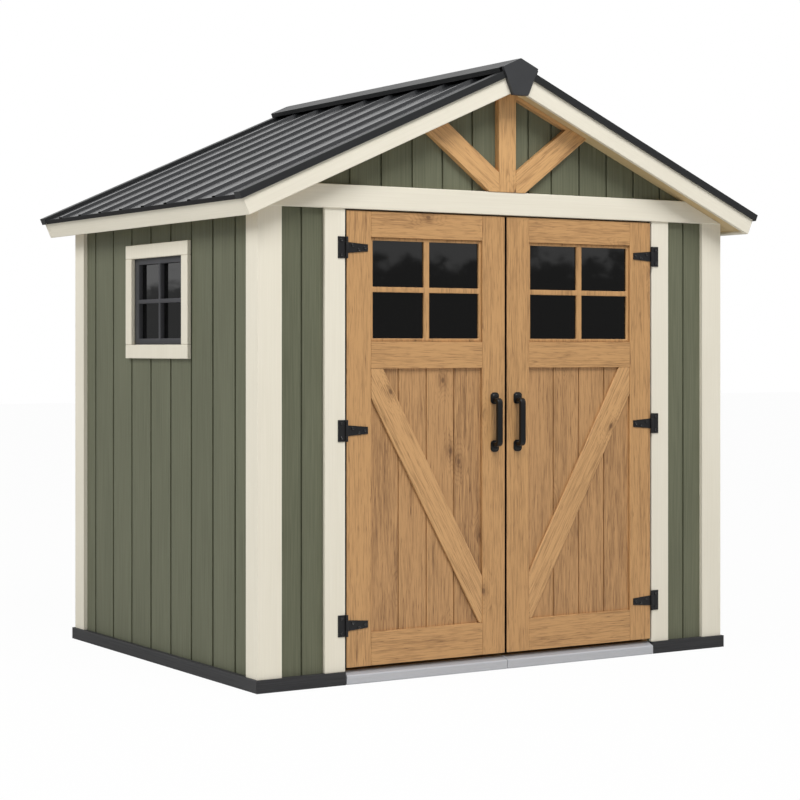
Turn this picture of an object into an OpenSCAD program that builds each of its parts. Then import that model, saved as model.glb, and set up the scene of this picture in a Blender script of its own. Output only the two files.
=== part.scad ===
// Wooden garden shed with a ribbed metal roof, a framed body and a pair of hinged doors.
// Millimetres, Z up, the doors face -Y, the middle of the footprint is the origin.

/* [Base] */
// Width over the skirt boards
base_w = 2440; // [2000:10:3600]
// Depth over the skirt boards
base_d = 1850; // [1500:10:3000]
// Height of the skirt boards, level with the floor
skirt_h = 53; // [45:1:90]
// Thickness of the floor deck
floor_t = 18; // [12:1:25]
// Width of a floor bearer
bearer_w = 45; // [35:1:70]
// Number of floor bearers
bearer_count = 5; // [3:1:8]
// Radius on the skirt ends beside the doorway
skirt_round = 8; // [3:1:14]

/* [Walls] */
// Step from the skirt face back to the trim face
trim_inset = 11; // [6:1:20]
// Thickness of corner boards and door casings
trim_t = 18; // [14:1:25]
// Thickness of the wall cladding
siding_t = 15; // [10:1:20]
// Side of a square stud
stud = 45; // [35:1:60]
// Height of the side top plates over the floor
plate_rise = 1877; // [1700:10:2100]
// Face width of a corner board on the door end and the back
corner_w = 110; // [80:1:140]
// Face width of a corner board on a side wall, door end edge included
corner_side_w = 100; // [80:1:140]
// Number of studs between the corners of the back wall
back_stud_count = 3; // [1:1:5]

/* [Beam and truss] */
// Underside of the beam over the doors
beam_z = 1949; // [1850:1:2150]
// Depth of the beam
beam_h = 98; // [70:1:130]
// How far the beam stands out past the trim
beam_proud = 9; // [4:1:20]
// Depth of the lintel behind the beam
lintel_h = 90; // [60:1:120]
// Width of the king post
king_w = 90; // [60:1:120]
// Thickness of king post, struts and chords
truss_t = 30; // [22:1:40]
// Width of a strut
strut_w = 97; // [60:1:120]
// Angle of a strut from level
strut_angle = 37; // [32:1:44]
// Length of beam covered by a strut foot
strut_foot = 49; // [30:1:70]
// Depth of the chord strip under the soffit
chord_h = 15; // [12:1:40]

/* [Roof] */
// Pitch of both slopes
pitch = 24; // [18:1:30]
// Eave overhang past the trim, along the slope
eave_run = 97; // [60:1:160]
// Overhang of the barge face past the trim at each end
rake_run = 94; // [70:1:150]
// Thickness of the deck
deck_t = 11; // [9:1:18]
// Depth of a rafter
rafter_h = 56; // [45:1:75]
// Thickness of the soffit lining
soffit_t = 10; // [6:1:12]
// How far barge and fascia hang below the soffit
barge_drop = 9; // [2:1:16]
// Thickness of barge boards and fascias
barge_t = 20; // [15:1:28]
// Thickness of the ridge board
ridge_t = 25; // [20:1:40]
// Depth of the ridge board
ridge_h = 90; // [70:1:120]

/* [Metal] */
// Thickness of the roof sheet and its trims
sheet_t = 2; // [1:0.5:3]
// Number of ribs on a slope
rib_count = 8; // [6:1:10]
// Distance between ribs
rib_pitch = 224; // [180:1:230]
// Height of a rib
rib_h = 10; // [6:1:20]
// Width of a rib at its foot
rib_foot = 46; // [40:1:60]
// Width of a rib at its top
rib_top = 26; // [18:1:34]
// Visible depth of the edge trims below the sheet
edge_drop = 16; // [12:1:40]
// Width of a rake trim on top
rake_w = 50; // [40:1:70]
// How far the rake trim stands out from the barge board
rake_proud = 10; // [6:1:16]
// Height of the rake trim over the sheet
rake_rise = 14; // [10:1:24]
// How far the eave trim stands out from the fascia
eave_proud = 9; // [6:1:16]
// Rise of the eave trim over the sheet
eave_lip = 4; // [1:0.5:6]
// Width of a ridge cap wing along the slope
cap_w = 98; // [90:1:150]
// Height of the ridge cap over the sheet
cap_h = 35; // [25:1:45]
// Half width of a ridge end cap along the slope
end_cap_w = 84; // [70:1:88]
// Gap between an end cap and the rake trims below it
end_cap_gap = 1; // [0.5:0.5:3]
// How far an end cap hangs below the barge board
end_cap_drop = 6; // [2:1:20]
// Depth of an end cap
end_cap_t = 18; // [12:1:30]

/* [Windows] */
// Width of the window opening in a side wall
window_w = 504; // [350:1:700]
// Height of the window opening
window_h = 383; // [300:1:550]
// Sill height of the window opening
window_z = 1393; // [1100:1:1450]
// Width of the side casings
casing_side = 62; // [40:1:90]
// Shift of a window from the middle of its wall to the back
window_shift = 30; // [-60:1:60]
// Width of the head and sill casings
casing_end = 61; // [40:1:90]
// Thickness of the window casing
casing_t = 19; // [14:1:25]
// Width of a sash stile
sash_stile = 40; // [25:1:60]
// Width of a sash rail
sash_rail = 27; // [20:1:50]
// Depth of a sash
sash_t = 32; // [26:1:45]
// Set back of the glass behind the sash face
sash_glass = 20; // [8:1:22]

/* [Doors] */
// Width of cladding that shows between a corner board and a door casing
front_strip = 199; // [120:1:260]
// Gap round the outer edges of a leaf
leaf_gap = 7; // [5:0.5:8]
// Gap between the two leaves
middle_gap = 11; // [8:0.5:12]
// Underside of a leaf
leaf_z = 68; // [60:1:110]
// Thickness of a leaf
leaf_t = 40; // [36:1:44]
// Width of a door stile
stile_w = 117; // [90:1:130]
// Width of the top rail
top_rail = 106; // [80:1:130]
// Width of the middle rail
mid_rail = 112; // [80:1:140]
// Width of the bottom rail
low_rail = 138; // [100:1:180]
// Underside of the middle rail
mid_rail_z = 1293; // [1150:1:1400]
// Set back of the lower panel from the door face
panel_inset = 12; // [8:1:16]
// Thickness of the lower panel
panel_t = 18; // [12:1:20]
// Width of the diagonal brace
brace_w = 110; // [80:1:120]
// Length of hinge stile covered by the top of the brace
brace_top = 119; // [60:1:180]
// Length of bottom rail covered by the foot of the brace
brace_foot = 15; // [5:1:40]
// Set back of the brace from the door face
brace_inset = 1; // [0:0.5:3]
// Set back of the door glass
door_glass_inset = 18; // [12:1:24]
// Thickness of every pane
glass_t = 4; // [3:0.5:6]
// Width of a door casing
door_casing_w = 97.5; // [70:0.5:110]
// Section of the door stops
stop_t = 18; // [12:1:25]
// Clearance between a closed leaf and its stops
stop_gap = 6; // [5:0.5:10]
// Height of the threshold at its front
threshold_front = 38; // [25:1:44]
// Depth of the flat at the back of the threshold
threshold_flat = 9; // [5:1:20]
// Overhang of the threshold past the skirt face
threshold_proud = 2; // [0:0.5:6]

/* [Hinges and handles] */
// Heights of the hinge middles
hinge_z = [241, 1039, 1790];
// Height of a jamb plate and its barrel
plate_h = 89; // [70:1:110]
// Width of a jamb plate
plate_w = 33; // [25:1:45]
// Thickness of hinge metal
hinge_t = 3; // [2:0.5:3]
// Radius of the hinge barrel
barrel_r = 6; // [5:0.5:6]
// Radius of the hinge pin
pin_r = 3; // [2:0.5:3.5]
// Running clearance round the pin
pin_play = 0.05; // [0.02:0.01:0.09]
// Gap between the knuckles along the pin
knuckle_play = 0.5; // [0.5:0.1:1]
// Length of a strap from the pin
strap_l = 103; // [80:1:160]
// Height of a strap at its root
strap_root = 46; // [35:1:50]
// Height of a strap at its tip
strap_tip = 29; // [20:1:40]
// Distance of a handle from the middle of the doorway
handle_x = 60; // [45:1:70]
// Height of the lower handle post
handle_z = 958; // [850:1:1000]
// Distance between the posts of a handle
handle_l = 205; // [150:1:300]
// Width of the handle bar
handle_w = 26; // [18:1:32]
// Thickness of the handle bar
handle_t = 12; // [10:1:18]
// Clear space behind the handle bar
handle_gap = 33; // [28:1:45]
// Radius of a handle rose
rose_r = 23; // [18:1:28]
// Thickness of a handle rose
rose_t = 6; // [3:1:8]
// Radius of a handle post
post_r = 10; // [7:1:12]

/* [Hidden] */
// Fine enough rounds for a screen view
$fn = 48;
// Hairline joint between boards that butt in one row
joint = 0.5;
// Hairline between sloping faces that lie on each other
seat = 0.2;
// Overrun of a cutting body past a face
over = 1;
// Faces of the body, from the outside in
half_w = base_w / 2;
half_d = base_d / 2;
trim_x = half_w - trim_inset;
trim_y = half_d - trim_inset;
siding_x = trim_x - trim_t;
siding_y = trim_y - trim_t;
inner_x = siding_x - siding_t;
inner_y = siding_y - siding_t;
frame_x = inner_x - stud;
frame_y = inner_y - stud;
// Levels of the body
bearer_h = skirt_h - floor_t;
stud_z = skirt_h + stud;
plate_z = skirt_h + plate_rise;
beam_top = beam_z + beam_h;
// Depths under the roof sheet, square to the slope
board_n = -sheet_t - seat;
deck_n = board_n - deck_t;
rafter_n = deck_n - rafter_h;
soffit_n = rafter_n - soffit_t;
barge_n = soffit_n - barge_drop;
// Height of the sheet over the ridge line
apex_z = beam_z + trim_x * tan(pitch) - soffit_n / cos(pitch);
// Runs down the slope
fascia_s = (trim_x - soffit_n * sin(pitch)) / cos(pitch) + eave_run;
deck_s = fascia_s - barge_t;
eave_s = fascia_s + eave_proud;
sheet_s = eave_s - sheet_t;
cap_s = end_cap_w + end_cap_gap;
// Faces of the roof ends
barge_y = trim_y + rake_run;
barge_in = barge_y - barge_t;
rake_y = barge_y + rake_proud;
// Edges of a window opening along its wall
window_front = window_shift - window_w / 2;
window_back = window_shift + window_w / 2;
// Doors, from the edge of the doorway in
jamb_x = trim_x - corner_w - front_strip - door_casing_w;
leaf_x = jamb_x - leaf_gap;
leaf_in = middle_gap / 2;
stile_x = leaf_x - stile_w;
lock_x = leaf_in + stile_w;
leaf_top = beam_z - leaf_gap;
low_rail_z = leaf_z + low_rail;
top_rail_z = leaf_top - top_rail;
light_z = mid_rail_z + mid_rail;
leaf_y = -trim_y;
pin_x = (jamb_x + leaf_x) / 2;
pin_y = leaf_y - barrel_r;
knuckle_h = (plate_h - strap_root) / 2;
bore_r = pin_r + pin_play;
// Start of the hinge flats beside the pin, clear of the bore
flat_x = barrel_r / 3;
// Lower edge of the brace, and the step across its width
brace_hi = [stile_x, mid_rail_z - brace_top];
brace_lo = [lock_x + brace_foot, low_rail_z];
brace_dir = (brace_hi - brace_lo) / norm(brace_hi - brace_lo);
brace_rise = brace_w / brace_dir[0];
brace_grade = brace_dir[1] / brace_dir[0];
// Lower and upper edges of a strut, and the soffit line they run up to
strut_x = king_w / 2 + strut_foot;
strut_rise = strut_w / cos(strut_angle);
strut_z = beam_top - strut_x * tan(strut_angle);
soffit_apex = slope_z(0, soffit_n - seat);
chord_apex = soffit_apex - chord_h / cos(pitch);
strut_sum = tan(strut_angle) + tan(pitch);
// Corners of the gable cladding
gable_eave = slope_z(inner_x, deck_n - seat);
gable_peak = slope_z(0, deck_n - seat);

// Point on a slope: s down from the ridge, n square to it
function on_slope(s, n) = [s * cos(pitch) + n * sin(pitch), apex_z - s * sin(pitch) + n * cos(pitch)];
// Height of the plane at depth n over the point x
function slope_z(x, n) = apex_z + n / cos(pitch) - abs(x) * tan(pitch);
// Distance from the middle at which the plane at depth n has height z
function slope_x(z, n) = (apex_z + n / cos(pitch) - z) / tan(pitch);
// The same points on the other side, in reverse order
function mirrored(points) = [for (i = [len(points) - 1:-1:0]) [-points[i][0], points[i][1]]];
// Crossing of the soffit or chord line with a strut edge
function strut_cross(line, edge) = [(line - edge) / strut_sum,
    line - (line - edge) / strut_sum * tan(pitch)];

// The children and their mirror image across the middle of the doorway
module both() {
    children();
    mirror([1, 0, 0]) children();
}

// The children and their mirror image from end to end
module ends() {
    children();
    mirror([0, 1, 0]) children();
}

// An outline seen from the doors, drawn out from one depth to another
module along_y(from, to) {
    translate([0, to, 0]) rotate([90, 0, 0]) linear_extrude(height = to - from) children();
}

// An outline across a slope, drawn out down that slope
module down_slope(from, to) {
    translate([0, 0, apex_z]) rotate([0, pitch, 0]) translate([from, 0, 0])
        rotate([90, 0, 90]) linear_extrude(height = to - from) children();
}

// A block between two corners
module block(low, high) {
    translate(low) cube(high - low);
}

module floor_bearers() {
    color("peru") for (i = [0:bearer_count - 1]) {
        y = -inner_y + i * (2 * inner_y - bearer_w) / (bearer_count - 1);
        block([-inner_x, y, 0], [inner_x, y + bearer_w, bearer_h]);
    }
}

module floor_deck() {
    color("burlywood") block([-inner_x, -inner_y, bearer_h], [inner_x, inner_y, skirt_h]);
}

module side_skirts() {
    color("dimgray") both() linear_extrude(height = skirt_h)
        polygon([[siding_x, -siding_y], [half_w, -half_d], [half_w, half_d], [siding_x, siding_y]]);
}

module end_skirts() {
    color("dimgray") {
        both() linear_extrude(height = skirt_h) difference() {
            polygon([[jamb_x, -siding_y], [jamb_x, -half_d], [half_w, -half_d], [siding_x, -siding_y]]);
            difference() {
                translate([jamb_x - over, -half_d - over]) square(skirt_round + over);
                translate([jamb_x + skirt_round, -half_d + skirt_round]) circle(r = skirt_round);
            }
        }
        linear_extrude(height = skirt_h)
            polygon([[-siding_x, siding_y], [siding_x, siding_y], [half_w, half_d], [-half_w, half_d]]);
    }
}

module door_threshold() {
    front = -half_d - threshold_proud;
    back = -inner_y;
    color("silver") both() translate([joint, 0, 0]) rotate([90, 0, 90])
        linear_extrude(height = jamb_x - joint)
            polygon([[front, 0], [back, 0], [back, skirt_h], [back - threshold_flat, skirt_h],
                [front, threshold_front]]);
}

module side_walls() {
    color("darkolivegreen") both() difference() {
        along_y(-siding_y, siding_y) polygon([[inner_x, 0], [siding_x, 0],
            [siding_x, slope_z(siding_x, rafter_n - seat)], [inner_x, slope_z(inner_x, rafter_n - seat)]]);
        block([inner_x - over, window_front, window_z],
            [siding_x + over, window_back, window_z + window_h]);
    }
}

module back_wall() {
    color("darkolivegreen") along_y(inner_y, siding_y) polygon([[-inner_x, 0], [inner_x, 0],
        [inner_x, gable_eave], [0, gable_peak], [-inner_x, gable_eave]]);
}

module front_walls() {
    color("darkolivegreen") both() block([jamb_x, -siding_y, 0], [inner_x, -inner_y, beam_z]);
}

module front_gable() {
    color("darkolivegreen") along_y(-siding_y, -inner_y) polygon([[-inner_x, beam_z], [inner_x, beam_z],
        [inner_x, gable_eave], [0, gable_peak], [-inner_x, gable_eave]]);
}

module wall_studs() {
    color("tan") {
        both() ends() block([frame_x, frame_y, stud_z], [inner_x, inner_y, plate_z]);
        both() for (y = [window_front - stud, window_back])
            block([frame_x, y, stud_z], [inner_x, y + stud, plate_z]);
        both() block([jamb_x, -inner_y, stud_z], [jamb_x + stud, -frame_y, beam_z]);
        for (i = [1:back_stud_count]) {
            x = -frame_x + i * 2 * frame_x / (back_stud_count + 1) - stud / 2;
            block([x, frame_y, stud_z], [x + stud, inner_y, beam_z]);
        }
    }
}

module wall_plates() {
    color("tan") {
        both() block([frame_x, -inner_y, skirt_h], [inner_x, inner_y, stud_z]);
        both() block([jamb_x, -inner_y, skirt_h], [frame_x - joint, -frame_y, stud_z]);
        block([-frame_x + joint, frame_y, skirt_h], [frame_x - joint, inner_y, stud_z]);
        both() along_y(-inner_y, inner_y) polygon([[frame_x, plate_z], [inner_x, plate_z],
            [inner_x, slope_z(inner_x, rafter_n - seat)], [frame_x, slope_z(frame_x, rafter_n - seat)]]);
        both() block([frame_x, window_front, window_z - stud], [inner_x, window_back, window_z]);
        both() block([frame_x, window_front, window_z + window_h],
            [inner_x, window_back, window_z + window_h + stud]);
    }
}

module end_headers() {
    shoulder = slope_z(frame_x, rafter_n - seat);
    top = max(beam_z + lintel_h, shoulder);
    reach = slope_x(top, rafter_n - seat);
    color("tan") ends() along_y(frame_y, inner_y) polygon([[-frame_x, beam_z], [frame_x, beam_z],
        [frame_x, shoulder], [reach, top], [-reach, top], [-frame_x, shoulder]]);
}

module door_stops() {
    front = leaf_y + leaf_t + stop_gap;
    color("wheat") {
        both() block([jamb_x - stop_t, front, skirt_h], [jamb_x, front + stop_t, beam_z]);
        block([-jamb_x + stop_t + joint, front, beam_z - stop_t],
            [jamb_x - stop_t - joint, front + stop_t, beam_z]);
    }
}

module corner_boards() {
    color("antiquewhite") both() ends() {
        block([trim_x - corner_w, siding_y, skirt_h], [trim_x, trim_y, beam_z]);
        along_y(trim_y - corner_side_w, siding_y) polygon([[siding_x, skirt_h], [trim_x, skirt_h],
            [trim_x, slope_z(trim_x, soffit_n - seat)], [siding_x, slope_z(siding_x, soffit_n - seat)]]);
    }
}

module door_casings() {
    color("antiquewhite") both()
        block([jamb_x, -trim_y, skirt_h], [jamb_x + door_casing_w, -siding_y, beam_z]);
}

module gable_beams() {
    foot = slope_x(beam_z, soffit_n - seat);
    head = slope_x(beam_top, soffit_n - seat);
    color("antiquewhite") ends() along_y(siding_y, trim_y + beam_proud)
        polygon([[-foot, beam_z], [foot, beam_z], [head, beam_top], [-head, beam_top]]);
}

module king_post() {
    half = king_w / 2;
    shoulder = slope_z(half, soffit_n - seat);
    color("burlywood") along_y(-siding_y - truss_t, -siding_y) polygon([[-half, beam_top], [half, beam_top],
        [half, shoulder], [0, soffit_apex], [-half, shoulder]]);
}

module truss_struts() {
    half = king_w / 2;
    color("burlywood") both() along_y(-siding_y - truss_t, -siding_y) polygon([[half, beam_top],
        [strut_x, beam_top], strut_cross(soffit_apex, strut_z),
        strut_cross(soffit_apex, strut_z + strut_rise),
        [half, strut_z + strut_rise + half * tan(strut_angle)]]);
}

module truss_chords() {
    half = king_w / 2;
    edge = strut_z + strut_rise + seat / cos(strut_angle);
    color("burlywood") both() along_y(-siding_y - truss_t, -siding_y) polygon([
        [half, soffit_apex - half * tan(pitch)], strut_cross(soffit_apex, edge),
        strut_cross(chord_apex, edge), [half, chord_apex - half * tan(pitch)]]);
}

module rafters() {
    half = ridge_t / 2;
    color("tan") both() ends() for (y = [window_w / 2, frame_y]) along_y(y, y + stud) polygon([
        [half, slope_z(half, deck_n - seat)], on_slope(deck_s - seat, deck_n - seat),
        on_slope(deck_s - seat, rafter_n), [half, slope_z(half, rafter_n)]]);
}

module ridge_board() {
    half = ridge_t / 2;
    color("tan") block([-half, -inner_y, slope_z(half, deck_n - seat) - ridge_h],
        [half, inner_y, slope_z(half, deck_n - seat)]);
}

module roof_decks() {
    color("burlywood") both() along_y(-barge_in, barge_in) polygon([[joint, slope_z(joint, board_n)],
        on_slope(deck_s - seat, board_n), on_slope(deck_s - seat, deck_n), [joint, slope_z(joint, deck_n)]]);
}

// Feet and shoulders of every rib, raised by one sheet thickness for the upper face
function rib_line(lift) = [for (i = [0:rib_count - 1]) let(y = (i - (rib_count - 1) / 2) * rib_pitch)
    each [[y - rib_foot / 2, lift], [y - rib_top / 2, lift + rib_h],
        [y + rib_top / 2, lift + rib_h], [y + rib_foot / 2, lift]]];

module roof_sheets() {
    upper = rib_line(0);
    lower = rib_line(-sheet_t);
    color("dimgray") both() down_slope(joint + rib_h, sheet_s - seat) polygon(concat([[-barge_y, 0]], upper,
        [[barge_y, 0], [barge_y, -sheet_t]], [for (i = [len(lower) - 1:-1:0]) lower[i]],
        [[-barge_y, -sheet_t]]));
}

module soffits() {
    lining = rafter_n - seat;
    edge = deck_s - seat;
    color("antiquewhite") {
        both() ends() along_y(siding_y, barge_in) polygon([[joint, slope_z(joint, lining)],
            on_slope(edge, lining), on_slope(edge, soffit_n), [joint, slope_z(joint, soffit_n)]]);
        both() along_y(-siding_y + joint, siding_y - joint) polygon([
            [siding_x, slope_z(siding_x, lining)], on_slope(edge, lining),
            on_slope(edge, soffit_n), [siding_x, slope_z(siding_x, soffit_n)]]);
    }
}

module barge_boards() {
    color("antiquewhite") both() ends() along_y(barge_in, barge_y) polygon([
        [joint, slope_z(joint, board_n)], on_slope(fascia_s, board_n), on_slope(fascia_s, barge_n),
        [joint, slope_z(joint, barge_n)]]);
}

module eave_fascias() {
    color("antiquewhite") both() along_y(-barge_in, barge_in) polygon([on_slope(deck_s, board_n),
        on_slope(fascia_s, board_n), on_slope(fascia_s, barge_n), on_slope(deck_s, barge_n)]);
}

module rake_trims() {
    inside = rake_y - rake_w;
    hem = barge_y + seat;
    color("dimgray") both() ends() {
        down_slope(cap_s, eave_s + sheet_t) polygon([[inside, seat], [inside, rake_rise], [rake_y, rake_rise],
            [rake_y, -edge_drop], [hem, -edge_drop], [hem, -edge_drop + sheet_t],
            [rake_y - sheet_t, -edge_drop + sheet_t], [rake_y - sheet_t, rake_rise - sheet_t],
            [inside + sheet_t, rake_rise - sheet_t], [inside + sheet_t, seat]]);
        down_slope(eave_s, eave_s + sheet_t) polygon([[inside, rake_rise], [rake_y, rake_rise],
            [rake_y, -edge_drop], [inside, -edge_drop]]);
    }
}

module eave_trims() {
    half = rake_y - rake_w;
    hem = fascia_s + seat;
    color("dimgray") both() along_y(-half, half) polygon([on_slope(eave_s, eave_lip),
        on_slope(eave_s, -edge_drop), on_slope(hem, -edge_drop),
        on_slope(hem, sheet_t - edge_drop), on_slope(sheet_s, sheet_t - edge_drop),
        on_slope(sheet_s, eave_lip)]);
}

module ridge_cap() {
    under = cap_h - sheet_t;
    foot = max(rib_h, rake_rise) + seat;
    wing = [on_slope(cap_w, cap_h), on_slope(cap_w, foot), on_slope(cap_w - sheet_t, foot),
        on_slope(cap_w - sheet_t, under)];
    color("dimgray") along_y(-barge_y, barge_y) polygon(concat([[0, slope_z(0, cap_h)]], wing,
        [[0, slope_z(0, under)]], mirrored(wing)));
}

// Front outline of a ridge end cap, drawn in by one edge
module end_cap_outline(edge) {
    side = [on_slope(end_cap_w - edge, cap_h - edge), on_slope(end_cap_w - edge, barge_n - end_cap_drop + edge)];
    polygon(concat([[0, slope_z(0, cap_h - edge)]], side, mirrored(side)));
}

module ridge_end_caps() {
    color("dimgray") ends() difference() {
        along_y(barge_y, barge_y + end_cap_t) end_cap_outline(0);
        along_y(barge_y - over, barge_y + end_cap_t - sheet_t) end_cap_outline(sheet_t);
    }
}

module window_casings() {
    color("antiquewhite") both() difference() {
        block([siding_x, window_front - casing_side, window_z - casing_end],
            [siding_x + casing_t, window_back + casing_side, window_z + window_h + casing_end]);
        block([siding_x - over, window_front, window_z],
            [siding_x + casing_t + over, window_back, window_z + window_h]);
    }
}

module window_sashes() {
    color("dimgray") both() difference() {
        block([siding_x - sash_t, window_front, window_z],
            [siding_x, window_back, window_z + window_h]);
        block([siding_x - sash_t - over, window_front + sash_stile, window_z + sash_rail],
            [siding_x + over, window_back - sash_stile, window_z + window_h - sash_rail]);
    }
}

module window_glass() {
    color("lightblue") both() block([siding_x - sash_glass - glass_t, window_front + sash_stile,
        window_z + sash_rail], [siding_x - sash_glass, window_back - sash_stile,
        window_z + window_h - sash_rail]);
}

module hinge_plates() {
    edge = pin_x + barrel_r + joint;
    color("black") both() for (z = hinge_z) {
        block([edge, leaf_y - hinge_t, z - plate_h / 2], [edge + plate_w, leaf_y, z + plate_h / 2]);
        for (low = [z - plate_h / 2, z + plate_h / 2 - knuckle_h]) {
            translate([pin_x, pin_y, low]) cylinder(r = barrel_r, h = knuckle_h);
            block([pin_x + flat_x, leaf_y - hinge_t, low], [edge + hinge_t, leaf_y, low + knuckle_h]);
        }
        translate([pin_x, pin_y, z - plate_h / 2]) cylinder(r = pin_r, h = plate_h);
    }
}

module door_stiles() {
    block([stile_x, leaf_y, leaf_z], [leaf_x, leaf_y + leaf_t, leaf_top]);
    block([leaf_in, leaf_y, leaf_z], [lock_x, leaf_y + leaf_t, leaf_top]);
}

module door_rails() {
    block([lock_x, leaf_y, leaf_z], [stile_x, leaf_y + leaf_t, low_rail_z]);
    block([lock_x, leaf_y, mid_rail_z], [stile_x, leaf_y + leaf_t, light_z]);
    block([lock_x, leaf_y, top_rail_z], [stile_x, leaf_y + leaf_t, leaf_top]);
}

module door_panel() {
    block([lock_x, leaf_y + panel_inset, low_rail_z],
        [stile_x, leaf_y + panel_inset + panel_t, mid_rail_z]);
}

module door_brace() {
    lock_z = brace_lo[1] + (lock_x - brace_lo[0]) * brace_grade + brace_rise;
    head_x = stile_x - (brace_hi[1] + brace_rise - mid_rail_z) / brace_grade;
    along_y(leaf_y + brace_inset, leaf_y + panel_inset) polygon([brace_hi, brace_lo,
        [lock_x, low_rail_z], [lock_x, lock_z], [head_x, mid_rail_z], [stile_x, mid_rail_z]]);
}

module door_glass() {
    block([lock_x, leaf_y + door_glass_inset, light_z],
        [stile_x, leaf_y + door_glass_inset + glass_t, top_rail_z]);
}

module door_handle() {
    half = handle_w / 2;
    back = leaf_y - handle_gap;
    for (z = [handle_z, handle_z + handle_l]) translate([handle_x, leaf_y, z]) rotate([90, 0, 0]) {
        cylinder(r = rose_r, h = rose_t);
        cylinder(r = post_r, h = handle_gap + handle_t / 2);
        translate([0, 0, handle_gap]) cylinder(r = half, h = handle_t);
    }
    block([handle_x - half, back - handle_t, handle_z], [handle_x + half, back, handle_z + handle_l]);
}

// One strap with its knuckle, the pin's axis at the middle
module hinge_strap() {
    root = strap_root / 2 - knuckle_play;
    tip = strap_tip / 2;
    difference() {
        union() {
            translate([0, pin_y, -root]) cylinder(r = barrel_r, h = 2 * root);
            along_y(leaf_y - hinge_t, leaf_y) polygon([[-flat_x, -root], [-flat_x, root],
                [-strap_l, tip], [-strap_l, -tip]]);
        }
        translate([0, pin_y, -root - over]) cylinder(r = bore_r, h = 2 * (root + over));
    }
}

module left_door_stiles() { color("burlywood") mirror([1, 0, 0]) door_stiles(); }
module left_door_rails() { color("burlywood") mirror([1, 0, 0]) door_rails(); }
module left_door_panel() { color("burlywood") mirror([1, 0, 0]) door_panel(); }
module left_door_brace() { color("burlywood") mirror([1, 0, 0]) door_brace(); }
module left_door_glass() { color("lightblue") mirror([1, 0, 0]) door_glass(); }
module left_door_handle() { color("black") mirror([1, 0, 0]) door_handle(); }
module left_hinge_straps() {
    color("black") for (z = hinge_z) translate([-pin_x, 0, z]) rotate([0, 180, 0]) hinge_strap();
}
module right_door_stiles() { color("burlywood") door_stiles(); }
module right_door_rails() { color("burlywood") door_rails(); }
module right_door_panel() { color("burlywood") door_panel(); }
module right_door_brace() { color("burlywood") door_brace(); }
module right_door_glass() { color("lightblue") door_glass(); }
module right_door_handle() { color("black") door_handle(); }
module right_hinge_straps() {
    color("black") for (z = hinge_z) translate([pin_x, 0, z]) hinge_strap();
}

floor_bearers();
floor_deck();
side_skirts();
end_skirts();
door_threshold();
side_walls();
back_wall();
front_walls();
front_gable();
wall_studs();
wall_plates();
end_headers();
door_stops();
corner_boards();
door_casings();
gable_beams();
king_post();
truss_struts();
truss_chords();
rafters();
ridge_board();
roof_decks();
roof_sheets();
soffits();
barge_boards();
eave_fascias();
rake_trims();
eave_trims();
ridge_cap();
ridge_end_caps();
window_casings();
window_sashes();
window_glass();
hinge_plates();
left_door_stiles();
left_door_rails();
left_door_panel();
left_door_brace();
left_door_glass();
left_door_handle();
left_hinge_straps();
right_door_stiles();
right_door_rails();
right_door_panel();
right_door_brace();
right_door_glass();
right_door_handle();
right_hinge_straps();
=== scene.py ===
"""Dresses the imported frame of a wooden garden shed: boarded walls, glazed doors, ironwork and finishes.

Sizes in the classes are in millimetres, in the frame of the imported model: the doors face -Y and Z is up.
"""
from __future__ import annotations

import logging
import math
import random
from dataclasses import dataclass, field
from enum import Enum, IntEnum
from typing import Any, Callable, Sequence

import bmesh
import bpy
from mathutils import Matrix, Vector

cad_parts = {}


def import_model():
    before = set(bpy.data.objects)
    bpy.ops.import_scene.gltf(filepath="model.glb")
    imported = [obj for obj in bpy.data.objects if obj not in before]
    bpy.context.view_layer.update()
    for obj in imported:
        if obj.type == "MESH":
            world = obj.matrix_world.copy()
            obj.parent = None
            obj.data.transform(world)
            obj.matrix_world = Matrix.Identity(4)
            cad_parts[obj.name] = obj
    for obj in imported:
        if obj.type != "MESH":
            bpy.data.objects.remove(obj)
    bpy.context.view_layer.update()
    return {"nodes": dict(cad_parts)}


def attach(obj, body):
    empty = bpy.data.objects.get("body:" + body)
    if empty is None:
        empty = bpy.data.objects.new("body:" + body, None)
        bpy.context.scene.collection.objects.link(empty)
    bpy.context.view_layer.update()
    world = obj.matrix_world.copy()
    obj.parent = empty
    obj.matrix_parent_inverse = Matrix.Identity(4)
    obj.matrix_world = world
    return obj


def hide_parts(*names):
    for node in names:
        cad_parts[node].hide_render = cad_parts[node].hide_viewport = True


Triple = tuple[float, float, float]
Span = tuple[float, float]
Test = Callable[[Vector, Vector], bool]
Piece = bpy.types.Object

MM = 0.001
# Distance at which points count as one, and the cosine from which a face or an edge lies along an axis.
TOUCH = 0.01
FACING = 0.9
PITCH = math.radians(24.0)
BOARD_TAG = "board"

log = logging.getLogger("garden_shed")


class Axis(IntEnum):
    """An axis of the frame."""

    X = 0
    Y = 1
    Z = 2

    @property
    def way(self) -> Triple:
        """Unit vector along the axis."""
        return tuple(float(axis is self) for axis in Axis)


class Lie(Enum):
    """How a row of boards lies: the axis that they run along, the one across them and the one that they face."""

    SIDE = (Axis.Z, Axis.Y, Axis.X)
    END = (Axis.Z, Axis.X, Axis.Y)
    FLOOR = (Axis.Y, Axis.X, Axis.Z)


class Part(Enum):
    """Kind of mesh element that an edit works on."""

    EDGES = "edges"
    FACES = "faces"


class Body(Enum):
    """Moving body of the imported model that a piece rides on."""

    SHED = "shed"
    LEFT = "left_door"
    RIGHT = "right_door"

    @property
    def side(self) -> str:
        """Side of the doorway that a leaf hangs on."""
        return self.value.split("_")[0]


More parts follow.
